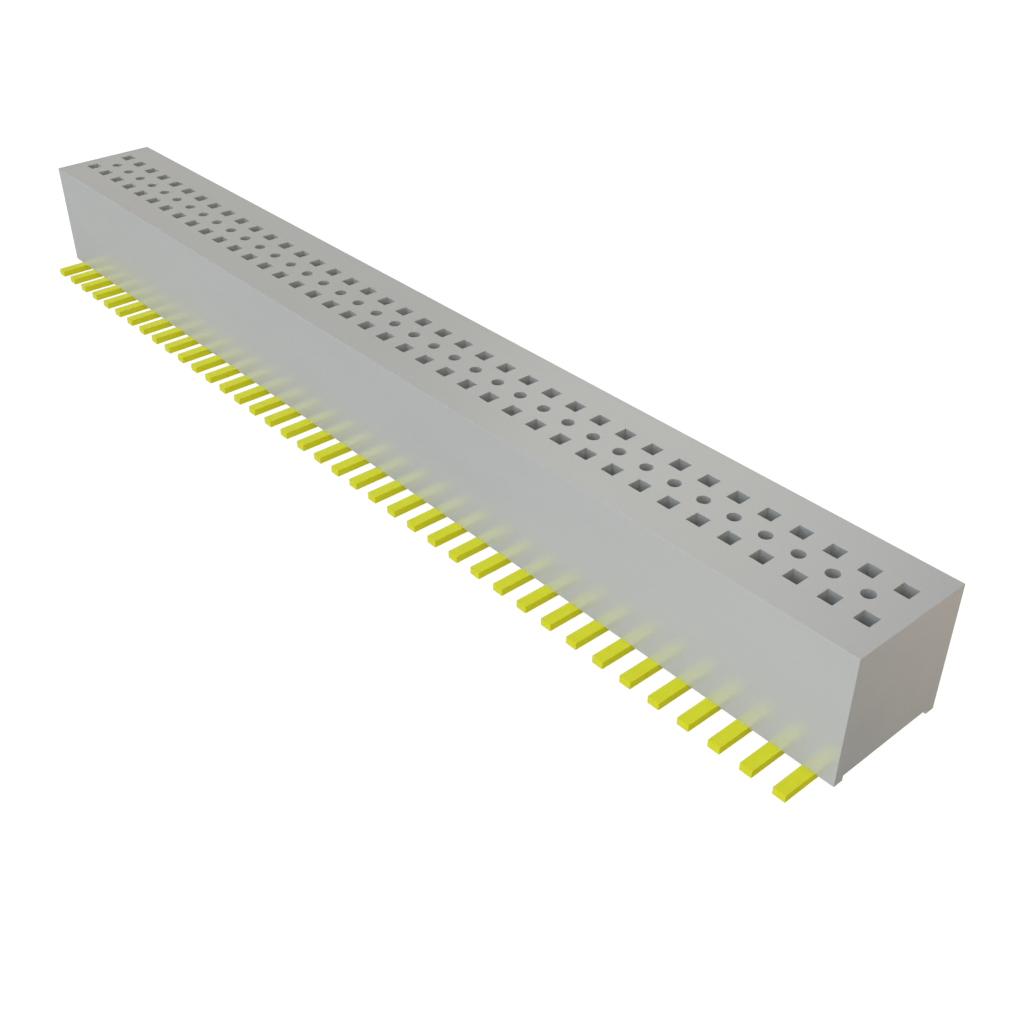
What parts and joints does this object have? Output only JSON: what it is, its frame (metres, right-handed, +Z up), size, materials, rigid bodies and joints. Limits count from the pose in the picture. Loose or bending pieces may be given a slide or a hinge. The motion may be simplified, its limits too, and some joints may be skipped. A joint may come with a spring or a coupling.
{
  "type": "socket strip",
  "caption": "Long low socket strip with two rows of square pin holes, fork contacts inside and flat solder tails along both sides; joins a pin strip to a circuit board.",
  "frame": {"origin": "on the board surface, under the middle of the strip", "axes": "+X along the strip, +Y across it from front to rear, +Z up out of the mating face"},
  "size_m": [0.0316, 0.0048, 0.0033],
  "materials": {
    "housing_plastic": "light grey filled moulding compound, fine satin moulded surface",
    "contact_metal": "bright yellow plated copper alloy, blanked and satin"
  },
  "bodies": {
    "root": {"housing": "housing_plastic", "contact_pair_01": "contact_metal", "contact_pair_02": "contact_metal", "contact_pair_03": "contact_metal", "contact_pair_04": "contact_metal", "contact_pair_05": "contact_metal", "contact_pair_06": "contact_metal", "contact_pair_07": "contact_metal", "contact_pair_08": "contact_metal", "contact_pair_09": "contact_metal", "contact_pair_10": "contact_metal", "contact_pair_11": "contact_metal", "contact_pair_12": "contact_metal", "contact_pair_13": "contact_metal", "contact_pair_14": "contact_metal", "contact_pair_15": "contact_metal", "contact_pair_16": "contact_metal", "contact_pair_17": "contact_metal", "contact_pair_18": "contact_metal", "contact_pair_19": "contact_metal", "contact_pair_20": "contact_metal", "contact_pair_21": "contact_metal", "contact_pair_22": "contact_metal", "contact_pair_23": "contact_metal", "contact_pair_24": "contact_metal", "contact_pair_25": "contact_metal", "contact_pair_26": "contact_metal", "contact_pair_27": "contact_metal", "contact_pair_28": "contact_metal", "contact_pair_29": "contact_metal", "contact_pair_30": "contact_metal", "contact_pair_31": "contact_metal", "contact_pair_32": "contact_metal", "contact_pair_33": "contact_metal", "contact_pair_34": "contact_metal", "contact_pair_35": "contact_metal", "contact_pair_36": "contact_metal", "contact_pair_37": "contact_metal", "contact_pair_38": "contact_metal", "contact_pair_39": "contact_metal"}
  },
  "joints": []
}
